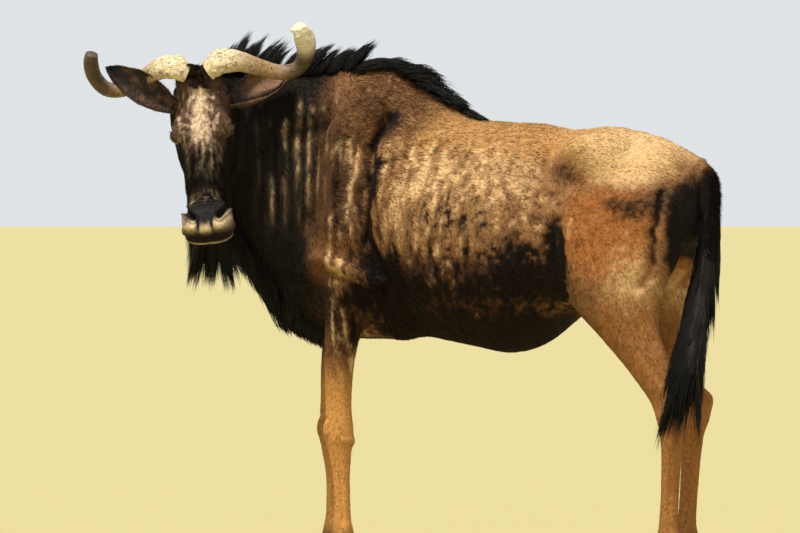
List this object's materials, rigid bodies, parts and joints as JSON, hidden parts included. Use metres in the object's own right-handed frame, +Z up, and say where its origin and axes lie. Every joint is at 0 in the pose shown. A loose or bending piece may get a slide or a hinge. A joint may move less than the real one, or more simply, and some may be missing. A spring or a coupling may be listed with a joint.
{
  "type": "wildebeest",
  "caption": "Life-size standing bull wildebeest with its head turned to one side, curved horns, an upright mane, a beard and a tasselled tail, as a museum model.",
  "frame": {"origin": "on the ground, under the middle of the animal's bounding box", "axes": "the animal faces -X, its right side is towards +Y, +Z is up"},
  "size_m": [1.676, 0.8038, 1.5195],
  "materials": {
    "coat": "short brown hair, golden tan on the back and dark brown in front",
    "dark_coat": "short black-brown hair",
    "leg_coat": "short orange-brown hair",
    "long_hair": "long black hair",
    "horn": "worn horn, tan at the base and dark towards the tip",
    "hoof": "worn black horn",
    "eye": "wet gloss"
  },
  "bodies": {
    "root": {"torso": "coat", "neck": "dark_coat", "head": "dark_coat", "tail": "long_hair", "horn_left": "horn", "horn_right": "horn", "ear_left": "dark_coat", "ear_right": "dark_coat", "eye_left": "eye", "eye_right": "eye", "leg_front_left": "leg_coat", "leg_front_right": "leg_coat", "leg_hind_left": "leg_coat", "leg_hind_right": "leg_coat", "hoof_front_left_inner": "hoof", "hoof_front_left_outer": "hoof", "hoof_front_right_inner": "hoof", "hoof_front_right_outer": "hoof", "hoof_hind_left_inner": "hoof", "hoof_hind_left_outer": "hoof", "hoof_hind_right_inner": "hoof", "hoof_hind_right_outer": "hoof", "dewclaw_front_left_inner": "hoof", "dewclaw_front_left_outer": "hoof", "dewclaw_front_right_inner": "hoof", "dewclaw_front_right_outer": "hoof", "dewclaw_hind_left_inner": "hoof", "dewclaw_hind_left_outer": "hoof", "dewclaw_hind_right_inner": "hoof", "dewclaw_hind_right_outer": "hoof"}
  },
  "joints": []
}
